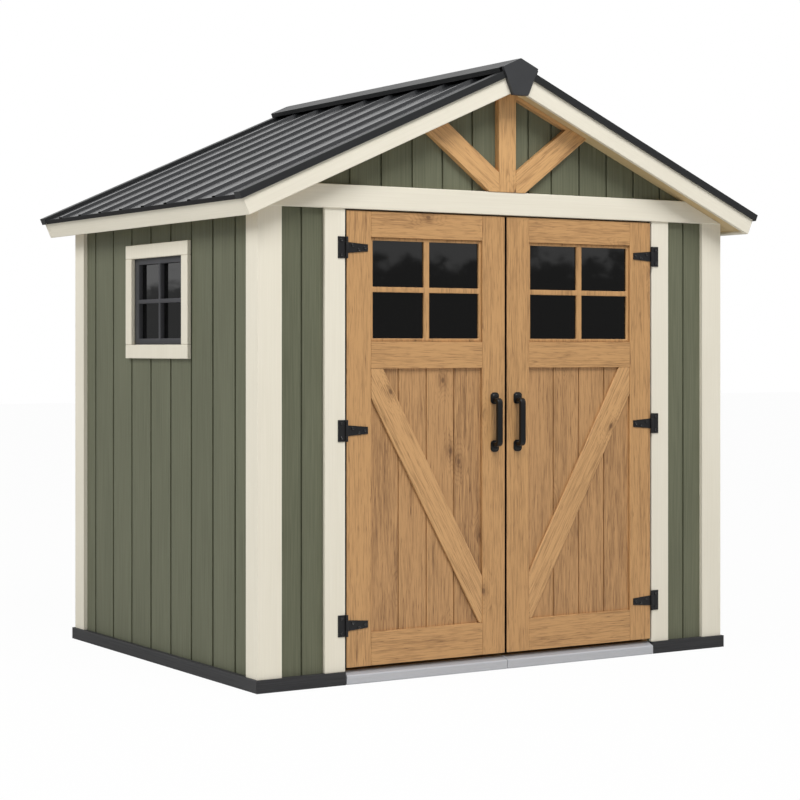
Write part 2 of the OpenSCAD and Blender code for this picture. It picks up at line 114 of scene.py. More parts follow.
class Slot(Enum):
    """Material slot of the record that goes with a new piece."""

    GREEN = "green_boards"
    CREAM = "cream_trim"
    OAK = "oak_timber"
    FLOOR = "floor_timber"
    IRON = "black_iron"
    SASH = "grey_sash"


class Grain(Enum):
    """Way that a board's fibres run: the turn in degrees that stands them up, and if the pair is mirrored."""

    UPRIGHT = ((0.0, 0.0, 0.0), False)
    LEVEL = ((0.0, 90.0, 0.0), False)
    DEEP = ((90.0, 0.0, 0.0), False)
    BRACE = ((0.0, -29.3, 0.0), True)
    STRUT = ((0.0, -53.0, 0.0), True)
    SLOPE = ((0.0, 66.0, 0.0), True)

    @property
    def turn(self) -> Triple:
        """The turn in radians."""
        return tuple(math.radians(angle) for angle in self.value[0])

    @property
    def mirrored(self) -> bool:
        """True where the boards left and right lean opposite ways."""
        return self.value[1]


def roof_normal(side: float) -> Triple:
    """Gives the upward normal of the roof's left slope for -1, or of its right slope for 1."""
    return side * math.sin(PITCH), 0.0, math.cos(PITCH)


# Mesh work


def begin(piece: Piece | None = None) -> None:
    """Goes to object mode with nothing selected but one piece.

    Args:
        piece: Piece to select and make active, if any.
    """
    if bpy.context.mode != "OBJECT":
        bpy.ops.object.mode_set(mode="OBJECT")
    bpy.ops.object.select_all(action="DESELECT")
    if piece is not None:
        piece.select_set(True)
        bpy.context.view_layer.objects.active = piece


def settle(piece: Piece | None = None) -> Piece:
    """Leaves edit mode and puts a piece's place into its mesh.

    Args:
        piece: Piece to settle, or the active one.

    Returns:
        The piece, at the origin, unturned and unscaled.
    """
    piece = piece or bpy.context.active_object
    begin(piece)
    bpy.ops.object.transform_apply(location=True, rotation=True, scale=True)
    return piece


def add_block(low: Triple, high: Triple) -> Piece:
    """Adds a block between two corners.

    Args:
        low: Lowest corner.
        high: Highest corner.

    Returns:
        The block.
    """
    begin()
    middle = [(a + b) / 2 * MM for a, b in zip(low, high)]
    size = [(b - a) * MM for a, b in zip(low, high)]
    bpy.ops.mesh.primitive_cube_add(size=1.0, location=middle, scale=size)
    return settle()


def pick(piece: Piece, part: Part, test: Test) -> None:
    """Opens a piece in edit mode with the elements selected that pass a test.

    Args:
        piece: Piece to open.
        part: Kind of element.
        test: Takes an element's middle and its normal, or the run of an edge.
    """
    begin(piece)
    bpy.context.tool_settings.mesh_select_mode = (False, part is Part.EDGES, part is Part.FACES)
    bpy.ops.object.mode_set(mode="EDIT")
    bpy.ops.mesh.select_all(action="DESELECT")
    shape = bmesh.from_edit_mesh(piece.data)
    shape.normal_update()
    for element in getattr(shape, part.value):
        if part is Part.FACES:
            found = test(element.calc_center_median() / MM, element.normal)
        else:
            one, two = (corner.co for corner in element.verts)
            found = test((one + two) / 2 / MM, (two - one).normalized())
        element.select_set(found)
    shape.select_flush_mode()
    bmesh.update_edit_mesh(piece.data)


def pick_all(piece: Piece) -> None:
    """Opens a piece in edit mode with all of it selected."""
    pick(piece, Part.FACES, lambda middle, normal: True)


def score(piece: Piece, point: Triple, normal: Triple, cut_off: bool = False) -> None:
    """Cuts a piece along a plane.

    Args:
        piece: Piece to cut.
        point: Point on the plane.
        normal: The plane's normal.
        cut_off: Takes off what lies beyond the plane and closes the cut.
    """
    pick_all(piece)
    place = [value * MM for value in point]
    bpy.ops.mesh.bisect(plane_co=place, plane_no=normal, use_fill=cut_off, clear_outer=cut_off)
    begin(piece)


def round_edges(piece: Piece, width: float, steps: int = 2, angle: float = 35.0) -> Piece:
    """Rounds a piece's sharp edges with an applied Bevel.

    Args:
        piece: Piece to round.
        width: Width of the rounding.
        steps: Segments of the rounding.
        angle: Sharpest angle in degrees that stays.

    Returns:
        The piece.
    """
    begin(piece)
    bevel = piece.modifiers.new("eased_edges", "BEVEL")
    bevel.width, bevel.segments = width * MM, steps
    bevel.limit_method, bevel.angle_limit = "ANGLE", math.radians(angle)
    bpy.ops.object.modifier_apply(modifier=bevel.name)
    return piece


def shade(piece: Piece, angle: float = 35.0) -> Piece:
    """Shades a piece smooth but for its sharp edges, with its normals outwards.

    Args:
        piece: Piece to shade.
        angle: Sharpest smooth angle in degrees.

    Returns:
        The piece.
    """
    pick_all(piece)
    bpy.ops.mesh.normals_make_consistent(inside=False)
    begin(piece)
    bpy.ops.object.shade_smooth_by_angle(angle=math.radians(angle))
    return piece


def copy_piece(piece: Piece, move: Triple = (0.0, 0.0, 0.0), mirror: Axis | None = None) -> Piece:
    """Copies a piece with a mesh of its own.

    Args:
        piece: Piece to copy.
        move: Way to the copy's place.
        mirror: Axis to mirror the copy along, about the origin and before the move.

    Returns:
        The copy.
    """
    twin = piece.copy()
    twin.data = piece.data.copy()
    bpy.context.collection.objects.link(twin)
    if mirror is not None:
        twin.data.transform(Matrix.Scale(-1.0, 4, Vector(mirror.way)))
        twin.data.flip_normals()
    twin.data.transform(Matrix.Translation(Vector(move) * MM))
    return twin


def join(pieces: Sequence[Piece], name: str) -> Piece:
    """Joins pieces into one.

    Args:
        pieces: Pieces to join.
        name: Name of the whole.

    Returns:
        The joined piece.
    """
    begin(pieces[0])
    for piece in pieces:
        piece.select_set(True)
    if len(pieces) > 1:
        bpy.ops.object.join()
    whole = settle(bpy.context.active_object)
    whole.name = whole.data.name = name
    return whole


def cut_hole(piece: Piece, low: Triple, high: Triple) -> None:
    """Cuts a block-shaped hole with an applied Boolean.

    Args:
        piece: Piece to cut.
        low: Lowest corner of the hole.
        high: Highest corner of the hole.
    """
    cutter = add_block(low, high)
    begin(piece)
    hole = piece.modifiers.new("hole", "BOOLEAN")
    hole.operation, hole.solver, hole.object = "DIFFERENCE", "EXACT", cutter
    bpy.ops.object.modifier_apply(modifier=hole.name)
    bpy.data.meshes.remove(cutter.data)


def tag_board(piece: Piece, value: float) -> Piece:
    """Gives every face of a board one number, by which its timber differs from the next board's.

    Args:
        piece: The board.
        value: Number from 0 to 1.

    Returns:
        The board.
    """
    tag = piece.data.attributes.new(BOARD_TAG, "FLOAT", "FACE")
    tag.data.foreach_set("value", [value] * len(piece.data.polygons))
    return piece


def hand_over(piece: Piece, finish: Finish, body: Body, slot: Slot, *nodes: str) -> None:
    """Gives a finished piece its material and body, and hides the CAD nodes that it stands for.

    Args:
        piece: The piece.
        finish: Its finish.
        body: Body that it rides on.
        slot: Slot of the record; not used.
        nodes: CAD nodes that it stands for.
    """
    piece.data.materials.clear()
    piece.data.materials.append(finish.material())
    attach(piece, body.value)
    if nodes:
        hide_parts(*nodes)
    log.info("%s: %d faces on %s", piece.name, len(piece.data.polygons), body.value)


# Finishes


def linear(code: str) -> tuple[float, float, float, float]:
    """Turns an sRGB hex colour to linear.

    Args:
        code: Colour as #rrggbb.

    Returns:
        Linear red, green, blue and an alpha of 1.
    """
    parts = [int(code[place : place + 2], 16) / 255 for place in (1, 3, 5)]
    red, green, blue = (part / 12.92 if part <= 0.04045 else ((part + 0.055) / 1.055) ** 2.4 for part in parts)
    return red, green, blue, 1.0


def feed(tree: Any, node: Any, **inputs: Any) -> None:
    """Sets a node's inputs.

    Args:
        tree: Node tree.
        node: The node.
        inputs: Values or sockets by input name, with _ for a space, or by number as i0, i1.
    """
    for key, value in inputs.items():
        numbered = key[0] == "i" and key[1:].isdigit()
        socket = node.inputs[int(key[1:]) if numbered else key.replace("_", " ")]
        if isinstance(value, bpy.types.NodeSocket):
            tree.links.new(value, socket)
        else:
            socket.default_value = value


def add_node(tree: Any, kind: str, settings: dict[str, Any] | None = None, **inputs: Any) -> Any:
    """Adds a shader node with its settings and links.

    Args:
        tree: Node tree.
        kind: Node type, without the ShaderNode before it.
        settings: Properties of the node.
        inputs: Its inputs, named as for feed.

    Returns:
        The node's outputs.
    """
    made = tree.nodes.new(f"ShaderNode{kind}")
    for key, value in (settings or {}).items():
        setattr(made, key, value)
    feed(tree, made, **inputs)
    return made.outputs


def reckon(tree: Any, operation: str, *values: Any, kind: str = "Math", clamp: bool = False) -> Any:
    """Works out a number, or a vector for VectorMath, from values or sockets and gives its socket."""
    settings = {"operation": operation, **({"use_clamp": True} if clamp else {})}
    return add_node(tree, kind, settings, **{f"i{place}": value for place, value in enumerate(values)})[0]


def blend(tree: Any, factor: Any, one: Any, two: str) -> Any:
    """Mixes a colour, as #rrggbb or a socket, with a share of a second one and gives the socket."""
    first = linear(one) if isinstance(one, str) else one
    return add_node(tree, "Mix", {"data_type": "RGBA"}, i0=factor, i6=first, i7=linear(two))[2]


# Steps in metres through a timber pattern, from board to board and from the left side to the right.
BOARD_STEP = (7.1, 3.3, 11.7)
SIDE_STEP = (5.3, 0.0, 0.0)
# Lie of the knots' cells: across the fibres, aslant through the board and drawn out.
KNOT_TURN = (-math.pi / 2, -math.pi / 4, 0.0)
KNOT_STRETCH = (1.0, 1.0, 0.45)


@dataclass(frozen=True)
class Finish:
    """A surface finish, which makes one material and keeps it."""

    name: str

    def material(self) -> bpy.types.Material:
        """Makes the material, or finds the one made before.

        Returns:
            The material.
        """
        found = bpy.data.materials.get(self.name)
        if found is not None:
            return found
        made = bpy.data.materials.new(self.name)
        made.use_nodes = True
        self.dress(made.node_tree, made.node_tree.nodes["Principled BSDF"])
        return made

    def dress(self, tree: Any, shader: Any) -> None:
        """Sets the shader and its pattern.

        Args:
            tree: The material's node tree.
            shader: Its Principled shader.
        """
        raise NotImplementedError

    def noise(self, tree: Any, spot: Any, size: float, detail: float) -> Any:
        """Draws plain noise with patches of one size and gives its socket."""
        return add_node(tree, "TexNoise", Vector=spot, Scale=1.0 / (size * MM), Detail=detail)["Fac"]

    def bump(self, tree: Any, height: Any, strength: float, depth: float) -> Any:
        """Makes a fine relief, of which strength is the share that shows, and gives the normal's socket."""
        return add_node(tree, "Bump", Height=height, Strength=strength, Distance=depth * MM)[0]


@dataclass(frozen=True)
class Timber(Finish):
    """Sawn or planed boards: what all timber finishes share is the run of the fibres."""

    grain: Grain = Grain.UPRIGHT

    def place(self, tree: Any) -> tuple[Any, Any]:
        """Lays out the pattern's coordinates, with the fibres along Z and every board cut from another place.

        Args:
            tree: The material's node tree.

        Returns:
            Sockets of the coordinates and of the board's number.
        """
        spot = add_node(tree, "TexCoord")["Object"]
        board = add_node(tree, "Attribute", {"attribute_name": BOARD_TAG})["Fac"]
        if self.grain.mirrored:
            side = reckon(tree, "SIGN", spot, kind="VectorMath")
            folded = reckon(tree, "ABSOLUTE", spot, kind="VectorMath")
            spot = reckon(tree, "MULTIPLY_ADD", side, SIDE_STEP, folded, kind="VectorMath")
        turned = add_node(tree, "Mapping", Vector=spot, Rotation=self.grain.turn)[0]
        return reckon(tree, "MULTIPLY_ADD", board, BOARD_STEP, turned, kind="VectorMath"), board

    def fade(self, tree: Any, distance: Any, near: float, far: float, most: float) -> Any:
        """Fades a value from its most at one distance to 0 at another and gives its socket."""
        ends = {"From_Min": near, "From_Max": far, "To_Min": most, "To_Max": 0.0}
        return add_node(tree, "MapRange", {"interpolation_type": "SMOOTHSTEP"}, Value=distance, **ends)[0]

    def streaks(self, tree: Any, spot: Any, width: float, length: float, detail: float) -> Any:
        """Draws noise that is drawn out along the fibres.

        Args:
            tree: The material's node tree.
            spot: Coordinates with the fibres along Z.
            width: Size across the fibres.
            length: Size along them.
            detail: Octaves of noise.

        Returns:
            Socket of the noise, about 0.5.
        """
        drawn = add_node(tree, "Mapping", Vector=spot, Scale=(1.0, 1.0, width / length))[0]
        settings = {"Scale": 1.0 / (width * MM), "Detail": detail, "Roughness": 0.55}
        return add_node(tree, "TexNoise", Vector=drawn, **settings)["Fac"]


@dataclass(frozen=True)
class PaintedTimber(Timber):
    """Satin exterior paint on planed softwood: even colour, the fibres only telegraph through as a faint relief."""

    colour: str = "#6a6c5a"
    shade: str = "#5e604f"
    roughness: float = 0.55
    specular: float = 0.2
    fibre: float = 5.0
    stretch: float = 60.0
    streak: float = 1.0
    cloudy: float = 0.6
    cloud: Triple = (120.0, 600.0, 2.0)
    relief: Span = (0.35, 0.4)
    differ: float = 0.3

    def dress(self, tree: Any, shader: Any) -> None:
        """Sets an even colour with slight differences from board to board, and a faint fibre relief."""
        spot, board = self.place(tree)
        fibres = self.streaks(tree, spot, self.fibre, self.stretch * self.fibre, 4.0)
        cloud = self.streaks(tree, spot, *self.cloud)
        factor = reckon(tree, "MULTIPLY_ADD", board, self.differ, -self.streak / 2)
        factor = reckon(tree, "MULTIPLY_ADD", fibres, self.streak, factor)
        factor = reckon(tree, "MULTIPLY_ADD", cloud, self.cloudy, factor, clamp=True)
        feed(
            tree,
            shader,
            Base_Color=blend(tree, factor, self.colour, self.shade),
            Normal=self.bump(tree, fibres, *self.relief),
            Roughness=self.roughness,
            Specular_IOR_Level=self.specular,
        )


@dataclass(frozen=True)
class StainedTimber(Timber):
    """Plain-sawn softwood under a clear or honey stain: growth rings in long loops, fine fibres, a few small knots.

    Streaks have a width, a length and octaves. What a knot does is given by two distances and its value at the first.
    """

    early: str = "#c19461"
    late: str = "#6b4827"
    knot: str = "#5b3b22"
    roughness: float = 0.5
    ring_count: float = 10.0
    ring_sharp: float = 2.5
    knot_cell: float = 150.0
    knot_share: float = 0.34
    knot_core: Triple = (0.02, 0.05, 0.7)
    knot_halo: Triple = (0.02, 0.2, 0.3)
    knot_swell: Triple = (0.0, 0.35, 0.4)
    flow: Triple = (40.0, 1500.0, 1.0)
    fibres: Triple = (3.4, 75.0, 3.0)
    bands: Triple = (12.0, 220.0, 3.0)
    cloud: Triple = (50.0, 420.0, 2.0)
    flecks: Triple = (4.5, 60.0, 1.0)
    fleck_tone: Triple = (0.76, 0.62, 0.36)
    relief: Span = (0.3, 0.6)
    differ: float = 0.2
    offset: float = -1.2
    figure: float = 1.25
    middle: float = 0.3

    def dress(self, tree: Any, shader: Any) -> None:
        """Draws rings as level lines of a drawn-out noise that swells at knots, then fibres and cloudy tone."""
        spot, board = self.place(tree)
        cells = add_node(tree, "Mapping", Vector=spot, Rotation=KNOT_TURN, Scale=KNOT_STRETCH)[0]
        flat = {"voronoi_dimensions": "2D"}
        seeds = add_node(tree, "TexVoronoi", flat, Vector=cells, Scale=1.0 / (self.knot_cell * MM))
        clear = reckon(tree, "GREATER_THAN", seeds["Color"], self.knot_share)
        apart = reckon(tree, "ADD", clear, seeds["Distance"])
        fades = (self.knot_core, self.knot_halo, self.knot_swell)
        knots, halo, swell = (self.fade(tree, apart, *fade) for fade in fades)
        sizes = (self.flow, self.fibres, self.bands, self.cloud, self.flecks)
        flow, fibres, bands, cloud, flecks = (self.streaks(tree, spot, *size) for size in sizes)
        flow = reckon(tree, "ADD", flow, swell)
        rings = reckon(tree, "PINGPONG", reckon(tree, "MULTIPLY", flow, 2.0 * self.ring_count), 1.0)
        latewood = reckon(tree, "POWER", rings, self.ring_sharp)
        flecks = self.fade(tree, flecks, *self.fleck_tone)
        factor = reckon(tree, "MULTIPLY_ADD", board, self.differ, self.offset)
        shares = ((0.2, latewood), (0.5, cloud), (0.75, bands), (1.35, fibres), (1.0, flecks), (1.0, halo))
        for share, part in shares:
            factor = reckon(tree, "MULTIPLY_ADD", part, share, factor)
        rest = self.middle * (1.0 - self.figure)
        factor = reckon(tree, "MULTIPLY_ADD", factor, self.figure, rest, clamp=True)
        wood = blend(tree, factor, self.early, self.late)
        feed(
            tree,
            shader,
            Base_Color=blend(tree, knots, wood, self.knot),
            Normal=self.bump(tree, fibres, *self.relief),
            Roughness=reckon(tree, "MULTIPLY_ADD", fibres, 0.2, self.roughness - 0.1),
        )


@dataclass(frozen=True)
class CoatedMetal(Finish):
    """Polyester or powder coat on steel: dark, with a soft sheen and a fine orange-peel relief."""

    colour: str
    worn: str
    roughness: float
    peel: float = 9.0
    relief: float = 0.05
    specular: float = 0.5
    cloud: float = 160.0

    def dress(self, tree: Any, shader: Any) -> None:
        """Sets a near even dark coat whose gloss is slightly cloudy."""
        spot = add_node(tree, "TexCoord")["Object"]
        peel = self.noise(tree, spot, self.peel, 2.0)
        cloud = self.noise(tree, spot, self.cloud, 3.0)
        feed(
            tree,
            shader,
            Base_Color=blend(tree, cloud, self.colour, self.worn),
            Roughness=reckon(tree, "MULTIPLY_ADD", cloud, 0.1, self.roughness - 0.05),
            Normal=self.bump(tree, peel, self.relief, 0.4),
            Specular_IOR_Level=self.specular,
        )


@dataclass(frozen=True)
class SatinAluminium(Finish):
    """Extruded aluminium with a satin mill finish: pale grey metal with fine drawing lines along its length."""

    colour: str = "#c4c6cb"
    dull: str = "#b6b8bd"
    line: float = 3.0

    def dress(self, tree: Any, shader: Any) -> None:
        """Draws the die lines along X, far enough apart to show at all."""
        spot = add_node(tree, "TexCoord")["Object"]
        drawn = add_node(tree, "Mapping", Vector=spot, Scale=(0.01, 1.0, 1.0))[0]
        lines = self.noise(tree, drawn, self.line, 3.0)
        feed(
            tree,
            shader,
            Base_Color=blend(tree, lines, self.colour, self.dull),
            Roughness=reckon(tree, "MULTIPLY_ADD", lines, 0.16, 0.24),
            Normal=self.bump(tree, lines, 0.15, 0.1),
            Metallic=0.35,
        )


@dataclass(frozen=True)
class PaneGlass(Finish):
    """Float glass in front of an unlit room: near black, with a sharp reflection that a faint waviness breaks."""

    colour: str = "#0b0b0a"
    wave: float = 140.0

    def dress(self, tree: Any, shader: Any) -> None:
        """Sets a dark, clear pane with the slow waviness of drawn glass."""
        waves = self.noise(tree, add_node(tree, "TexCoord")["Object"], self.wave, 1.0)
        feed(
            tree,
            shader,
            Base_Color=linear(self.colour),
            Normal=self.bump(tree, waves, 0.1, 1.0),
            Roughness=0.02,
            IOR=1.5,
            Specular_IOR_Level=0.5,
            Transmission_Weight=0.6,
        )


SAGE = PaintedTimber("sage_painted_boards", Grain.UPRIGHT, "#6f715d", "#595b49", streak=1.8)
CREAM = {
    grain: PaintedTimber(f"cream_painted_boards_{grain.name.lower()}", grain, "#e8e2d2", "#dcd5c3", 0.5)
    for grain in (Grain.UPRIGHT, Grain.LEVEL, Grain.DEEP, Grain.SLOPE)
}
# Soffit boards: a warm cream darkened to tan. This is partly the boards' own colour and partly painted shade, standing
# for the shadow under the eaves.
SOFFIT = PaintedTimber("tan_painted_soffit_boards", Grain.DEEP, "#ceb78b", "#bfa77b", 0.5)
CHARCOAL = {
    grain: PaintedTimber(f"charcoal_painted_skirt_{grain.name.lower()}", grain, "#38383a", "#262627", 0.5, streak=2.4)
    for grain in (Grain.LEVEL, Grain.DEEP)
}
PANEL = StainedTimber("honey_stained_panel_pine", Grain.UPRIGHT, "#bb8f5f", "#6c4929")
OAK = {
    grain: StainedTimber(f"honey_stained_pine_{grain.name.lower()}", grain) for grain in (Grain.UPRIGHT, Grain.LEVEL)
}
BRACE = StainedTimber("honey_stained_brace_pine", Grain.BRACE, "#c89b68", "#73502c")
TRUSS = {
    grain: StainedTimber(f"honey_stained_truss_pine_{grain.name.lower()}", grain, "#d0a26c", "#875e36")
    for grain in (Grain.UPRIGHT, Grain.STRUT, Grain.SLOPE)
}
BARE = {
    grain: StainedTimber(f"bare_pine_{grain.name.lower()}", grain, "#d8b98d", "#b78d5c", "#7d5a38", 0.62)
    for grain in (Grain.UPRIGHT, Grain.LEVEL, Grain.DEEP, Grain.SLOPE)
}
FLOOR = StainedTimber("floor_spruce", Grain.DEEP, "#c4a273", "#95703f", "#6b4a2a", 0.6)
RUBBER = CoatedMetal("black_rubber_seal", "#0d0c0b", "#131211", 0.7, 3.0, 0.2, 0.15)
SASH = PaintedTimber("grey_painted_sash", Grain.UPRIGHT, "#424245", "#39393c", 0.45)
ROOF_STEEL = CoatedMetal("charcoal_coated_roof_steel", "#1a1b1d", "#222325", 0.22, relief=0.02, specular=0.36)
TRIM_STEEL = CoatedMetal("charcoal_coated_trim_steel", "#1a1b1c", "#222324", 0.4, specular=0.3)
CAP_STEEL = CoatedMetal("charcoal_coated_cap_steel", "#333436", "#3a3b3d", 0.4, specular=0.3)
EAVE_STEEL = CoatedMetal("charcoal_coated_eave_steel", "#101011", "#171718", 0.45, specular=0.15)
PULL_IRON = CoatedMetal("black_enamelled_pull_iron", "#0b0b0c", "#111112", 0.3, 6.0, 0.06, 0.3)
IRON = CoatedMetal("black_powder_coated_iron", "#141415", "#1b1b1d", 0.4, 4.0, 0.2, 0.3)
SCREW_STEEL = CoatedMetal("black_zinc_screw_steel", "#0c0c0d", "#121213", 0.22, 6.0, 0.02, 0.6)
ALUMINIUM = SatinAluminium("satin_aluminium")
GLASS = PaneGlass("dark_float_glass")


# Boards


@dataclass
class BoardRow:
    """Boards side by side, with a square channel between neighbours on the show face."""

    low: Triple
    high: Triple
    lie: Lie
    outward: float
    seams: Sequence[float]
    channel: float = 10.0
    depth: float = 9.0
    gap: float = 0.4
    edge: float = 1.2

    def board(self, start: float, stop: float, lips: Span, tag: float) -> Piece:
        """Models one board: its back layer, then the raised show face between the channels, with eased edges.

        Args:
            start: Its near side.
            stop: Its far side.
            lips: Share of the channel at either side.
            tag: Its number, by which its timber differs.

        Returns:
            The board.
        """
        along, across, face = self.lie.value
        low, high = list(self.low), list(self.high)
        low[across], high[across] = start, stop
        show = high if self.outward > 0 else low
        top = show[face]
        show[face] -= self.outward * self.depth
        plank = add_block(tuple(low), tuple(high))
        ends = (start + lips[0], stop - lips[1])
        for end, lip in zip(ends, lips):
            if lip:
                score(plank, tuple(end * part for part in across.way), across.way)

        def show_face(middle: Vector, facing: Vector) -> bool:
            """Tells if a face is the raised part's."""
            return facing[face] * self.outward > FACING and ends[0] < middle[across] < ends[1]

        def long_edge(middle: Vector, run: Vector) -> bool:
            """Tells if an edge runs along the board on its show face."""
            return abs(run[along]) > FACING and abs(middle[face] - top) < TOUCH

        pick(plank, Part.FACES, show_face)
        rise = [self.outward * self.depth * MM * part for part in face.way]
        bpy.ops.mesh.extrude_region_move(TRANSFORM_OT_translate={"value": rise})
        pick(plank, Part.EDGES, long_edge)
        bpy.ops.mesh.bevel(offset=self.edge * MM, offset_type="OFFSET", segments=2, affect="EDGES")
        return tag_board(settle(plank), tag)

    def build(self, name: str, draw: random.Random) -> Piece:
        """Models the row.

        Args:
            name: Name of the row.
            draw: Source of the boards' numbers.

        Returns:
            The row in one piece.
        """
        across = self.lie.value[1]
        ends = [self.low[across], *self.seams, self.high[across]]
        half, lip = self.gap / 2, (self.channel - self.gap) / 2
        boards = []
        for place, (start, stop) in enumerate(zip(ends, ends[1:])):
            first, last = place == 0, place == len(ends) - 2
            start += 0.0 if first else half
            stop -= 0.0 if last else half
            boards.append(self.board(start, stop, (0.0 if first else lip, 0.0 if last else lip), draw.random()))
        return join(boards, name)


def seams_at(pitch: float, reach: float, start: float = 0.0) -> list[float]:
    """Lists the places of seams that stand at one pitch.

    Args:
        pitch: Width of a board.
        reach: Furthest place from the middle.
        start: Place of one of the seams.

    Returns:
        The places in order.
    """
    first = math.ceil((-reach - start) / pitch)
    last = math.floor((reach - start) / pitch)
    return [start + pitch * count for count in range(first, last + 1)]


@dataclass
class Walls:
    """Boarded walls and floor."""

    inner_x: float = 1176.0
    outer_x: float = 1191.0
    inner_y: float = 881.0
    outer_y: float = 896.0
    jamb_x: float = 802.5
    beam_z: float = 1949.0
    floor_z: Span = (35.0, 53.0)
    eave_z: float = 1967.7
    peak_z: float = 2559.3
    uncut_side_z: float = 2000.0
    uncut_end_z: float = 2600.0
    window_y: Span = (-222.0, 282.0)
    window_z: Span = (1393.0, 1776.0)
    overcut: float = 5.0
    side_pitch: float = 200.5
    side_seam: float = 116.0
    side_channel: float = 13.0
    side_depth: float = 11.0
    back_pitch: float = 197.0
    end_board: float = 60.0
    gable_pitch: float = 152.0
    gable_seams: Sequence[float] = (-164.0, -17.0, 130.0, 254.0)
    strip_seam: float = 1000.0
    floor_pitch: float = 120.0
    floor_end_board: float = 40.0
    floor_channel: float = 3.0
    draw: random.Random = field(default_factory=lambda: random.Random(11))

    def sides(self) -> None:
        """Models and dresses the side walls, each with its window opening and its top cut to the roof."""
        seams = seams_at(self.side_pitch, self.outer_y - self.end_board, self.side_seam)
        walls = []
        for sign, label in ((-1.0, "left"), (1.0, "right")):
            near, far = sorted((sign * self.inner_x, sign * self.outer_x))
            low, high = (near, -self.outer_y, 0.0), (far, self.outer_y, self.uncut_side_z)
            row = BoardRow(low, high, Lie.SIDE, sign, seams, self.side_channel, self.side_depth)
            wall = row.build(f"{label}_wall", self.draw)
            cut_hole(wall, *zip((near - self.overcut, far + self.overcut), self.window_y, self.window_z))
            score(wall, (sign * self.outer_x, 0.0, self.eave_z), roof_normal(sign), cut_off=True)
            walls.append(wall)
        hand_over(join(walls, "side_wall_boards"), SAGE, Body.SHED, Slot.GREEN, "side_walls")

    def gabled(self, node: str, front: bool, seams: Sequence[float], bottom: float) -> None:
        """Models and dresses a wall whose top follows both roof slopes.

        Args:
            node: CAD node that it stands for.
            front: True for the door end.
            seams: Places of the joints.
            bottom: Height that it starts at.
        """
        sign = -1.0 if front else 1.0
        near, far = sorted((sign * self.inner_y, sign * self.outer_y))
        low, high = (-self.inner_x, near, bottom), (self.inner_x, far, self.uncut_end_z)
        wall = BoardRow(low, high, Lie.END, sign, seams).build(f"{node}_boards", self.draw)
        for side in (-1.0, 1.0):
            score(wall, (0.0, 0.0, self.peak_z), roof_normal(side), cut_off=True)
        hand_over(wall, SAGE, Body.SHED, Slot.GREEN, node)

    def strips(self) -> None:
        """Models and dresses the front walls, narrow strips on either side of the doorway."""
        strips = []
        for near, far in ((-self.inner_x, -self.jamb_x), (self.jamb_x, self.inner_x)):
            low, high = (near, -self.outer_y, 0.0), (far, -self.inner_y, self.beam_z)
            row = BoardRow(low, high, Lie.END, -1.0, [math.copysign(self.strip_seam, near)])
            strips.append(row.build("strip", self.draw))
        hand_over(join(strips, "front_wall_boards"), SAGE, Body.SHED, Slot.GREEN, "front_walls")

    def floor(self) -> None:
        """Models and dresses the floor."""
        low, high = zip((-self.inner_x, self.inner_x), (-self.inner_y, self.inner_y), self.floor_z)
        seams = seams_at(self.floor_pitch, self.inner_x - self.floor_end_board)
        row = BoardRow(low, high, Lie.FLOOR, 1.0, seams, self.floor_channel, self.floor_channel)
        hand_over(row.build("floor_boards", self.draw), FLOOR, Body.SHED, Slot.FLOOR, "floor_deck")

    def build(self) -> None:
        """Models and dresses the walls and the floor, the gable's seams as the photograph has them."""
        self.sides()
        first, *_, last = self.gable_seams
        left = [place for place in seams_at(self.gable_pitch, self.inner_x, first) if place < first]
        right = [place for place in seams_at(self.gable_pitch, self.inner_x, last) if place > last]
        self.gabled("front_gable", True, [*left, *self.gable_seams, *right], self.beam_z)
        back = seams_at(self.back_pitch, self.inner_x - self.end_board, self.back_pitch / 2)
        self.gabled("back_wall", False, back, 0.0)
        self.strips()
        self.floor()


# Glazing


@dataclass
class Lattice:
    """A ring with crossing bars in one piece, as glazing bars and beads or a sash."""

    low: Triple
    high: Triple
    across: Axis
    through: Axis
    panes_across: Sequence[Span]
    panes_up: Sequence[Span]

    def build(self, name: str, edge: float) -> Piece:
        """Models the lattice from a block: scored at the panes, which are then cut through.

        Args:
            name: Name of the piece.
            edge: Rounding of its edges.

        Returns:
            The lattice.
        """
        piece = add_block(self.low, self.high)
        for axis, spans in ((self.across, self.panes_across), (Axis.Z, self.panes_up)):
            for place in (end for span in spans for end in span):
                score(piece, tuple(place * part for part in axis.way), axis.way)
        for left, right in self.panes_across:
            for bottom, top in self.panes_up:

                def in_pane(middle: Vector, normal: Vector) -> bool:
                    """Tells if a face lies in this pane, on the front or the back."""
                    inside = left < middle[self.across] < right and bottom < middle.z < top
                    return inside and abs(normal[self.through]) > FACING

                pick(piece, Part.FACES, in_pane)
                bpy.ops.mesh.bridge_edge_loops()
        begin(piece)
        piece.name = piece.data.name = name
        return shade(round_edges(piece, edge))


